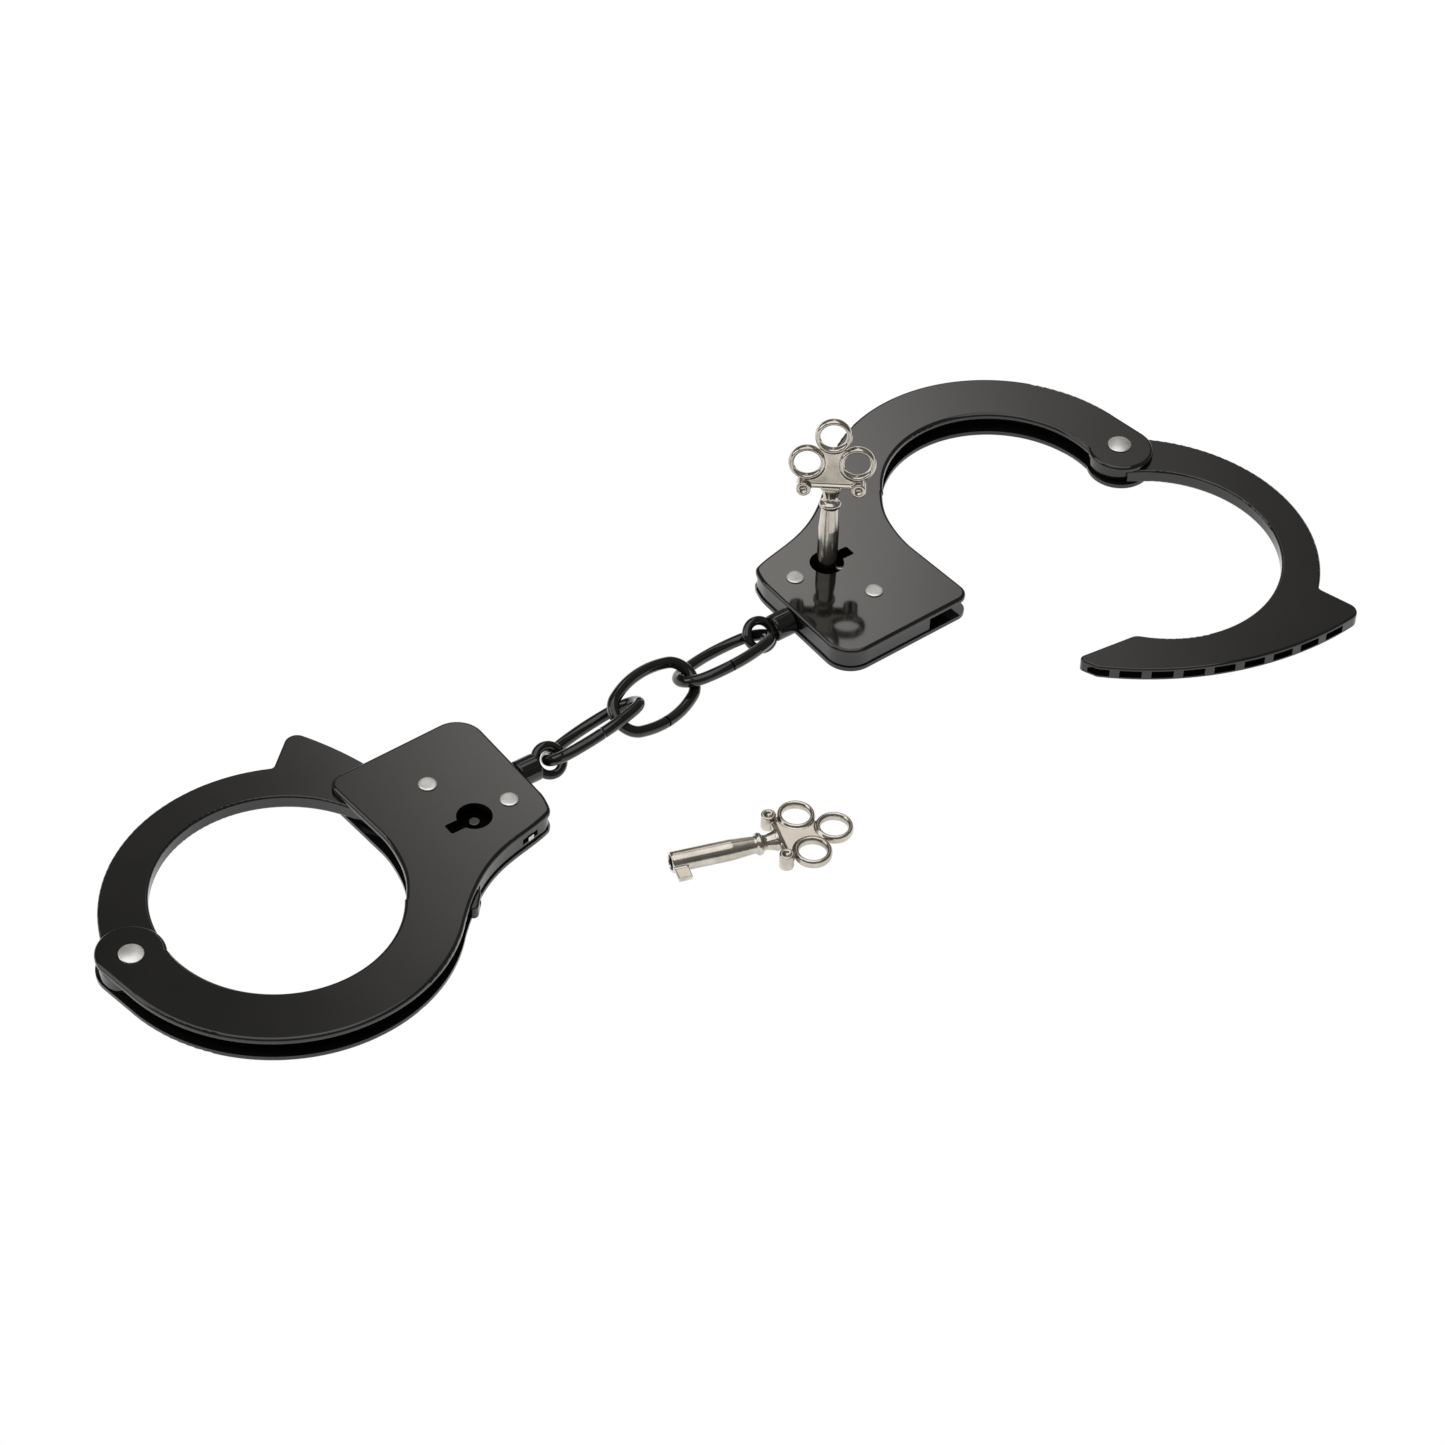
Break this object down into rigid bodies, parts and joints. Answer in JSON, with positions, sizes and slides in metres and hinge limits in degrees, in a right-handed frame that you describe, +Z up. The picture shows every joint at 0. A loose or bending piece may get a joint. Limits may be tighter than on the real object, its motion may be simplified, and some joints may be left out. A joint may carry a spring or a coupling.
{
  "type": "handcuffs",
  "caption": "Chain handcuffs with swinging ratchet jaws, double locks and swivels; closed on the left, open on the right, a key in the lock and a spare beside it.",
  "frame": {"origin": "centre of the bounding box seen from above, on the table", "axes": "+X along the chain from the closed cuff to the open cuff, +Z up from the table"},
  "size_m": [0.3016, 0.1194, 0.0422],
  "materials": {
    "black_enamel": "glossy black enamel over pressed steel",
    "bright_rivet_steel": "turned bright steel",
    "dark_steel": "dark oiled steel",
    "spring_steel": "satin spring steel",
    "zinc_plate": "bright zinc plate",
    "nickel_plate": "bright nickel plate on a die casting"
  },
  "bodies": {
    "left_cuff": {"left_upper_cheek": "black_enamel", "left_lower_shell": "black_enamel", "left_pivot_rivet": "bright_rivet_steel", "left_lock_rivets": "bright_rivet_steel", "left_key_post": "dark_steel", "left_pawl_spring": "spring_steel"},
    "left_jaw_body": {"left_jaw": "black_enamel"},
    "left_pawl_body": {"left_pawl": "dark_steel"},
    "left_lock_bar_body": {"left_double_lock_bar": "zinc_plate"},
    "left_swivel_body": {"left_swivel": "black_enamel", "left_swivel_collar": "black_enamel"},
    "right_cuff": {"right_upper_cheek": "black_enamel", "right_lower_shell": "black_enamel", "right_pivot_rivet": "bright_rivet_steel", "right_lock_rivets": "bright_rivet_steel", "right_key_post": "dark_steel", "right_pawl_spring": "spring_steel"},
    "right_jaw_body": {"right_jaw": "black_enamel"},
    "right_pawl_body": {"right_pawl": "dark_steel"},
    "right_lock_bar_body": {"right_double_lock_bar": "zinc_plate"},
    "right_swivel_body": {"right_swivel": "black_enamel", "right_swivel_collar": "black_enamel"},
    "link_1_body": {"chain_link_1": "black_enamel"},
    "link_2_body": {"chain_link_2": "black_enamel"},
    "link_3_body": {"chain_link_3": "black_enamel"},
    "lock_key_body": {"lock_key": "nickel_plate"},
    "spare_key_body": {"spare_key": "nickel_plate"}
  },
  "joints": [
    {"name": "left_jaw_swing", "type": "hinge", "parent": "left_cuff", "child": "left_jaw_body", "pos_m": [-0.14358, 0.01512, 0.00325], "axis": [0, 0, 1], "continuous": true},
    {"name": "left_pawl_lift", "type": "hinge", "parent": "left_cuff", "child": "left_pawl_body", "pos_m": [-0.06505, 0.01931, 0.00325], "axis": [0, 0, 1], "range_deg": [-11, 0]},
    {"name": "left_lock_bar_slide", "type": "slide", "parent": "left_cuff", "child": "left_lock_bar_body", "axis": [0.984, 0.1781, 0], "range_m": [-0.0012, 0.0012]},
    {"name": "right_jaw_swing", "type": "hinge", "parent": "right_cuff", "child": "right_jaw_body", "pos_m": [0.13042, 0.01512, 0.00325], "axis": [0, 0, 1], "continuous": true},
    {"name": "right_pawl_lift", "type": "hinge", "parent": "right_cuff", "child": "right_pawl_body", "pos_m": [0.05195, 0.01003, 0.00325], "axis": [0, 0, 1], "range_deg": [-11, 0]},
    {"name": "right_lock_bar_slide", "type": "slide", "parent": "right_cuff", "child": "right_lock_bar_body", "axis": [-0.9819, -0.1894, 0], "range_m": [-0.0012, 0.0012]},
    {"name": "left_swivel_turn", "type": "hinge", "parent": "left_cuff", "child": "left_swivel_body", "pos_m": [-0.04358, 0.01272, 0.00325], "axis": [0.9989, -0.0461, 0], "continuous": true},
    {"name": "link_1_swing", "type": "hinge", "parent": "left_swivel_body", "child": "link_1_body", "pos_m": [-0.03504, 0.01394, 0.00461], "axis": [-0.6219, 0.6118, 0.4888], "range_deg": [-12, 12]},
    {"name": "link_2_swing", "type": "hinge", "parent": "link_1_body", "child": "link_2_body", "pos_m": [-0.02017, 0.00789, 0.00999], "axis": [0.9762, 0.2156, -0.0237], "range_deg": [-12, 12]},
    {"name": "link_3_swing", "type": "hinge", "parent": "link_2_body", "child": "link_3_body", "pos_m": [0.00288, 0.01594, 0.0052], "axis": [-0.3343, 0.7929, 0.5095], "range_deg": [-12, 12]},
    {"name": "right_eye_swing", "type": "hinge", "parent": "link_3_body", "child": "right_swivel_body", "pos_m": [0.02282, 0.01846, 0.00217], "axis": [-0.7945, 0.5279, -0.3001], "range_deg": [-12, 12]},
    {"name": "right_swivel_turn", "type": "hinge", "parent": "right_swivel_body", "child": "right_cuff", "pos_m": [0.03041, 0.01638, 0.00325], "axis": [-0.9994, 0.0346, 0], "continuous": true},
    {"name": "lock_key_turn", "type": "hinge", "parent": "right_cuff", "child": "lock_key_body", "pos_m": [0.04937, 0.02373, 0.00325], "axis": [0, 0, 1], "range_deg": [0, 38]},
    {"name": "spare_key_lift", "type": "slide", "parent": "left_cuff", "child": "spare_key_body", "axis": [0, 0, 1], "range_m": [0, 0.03]}
  ],
  "couplings": [
    {"joint": "right_pawl_lift", "follows": "lock_key_turn", "ratio": -0.2894}
  ]
}
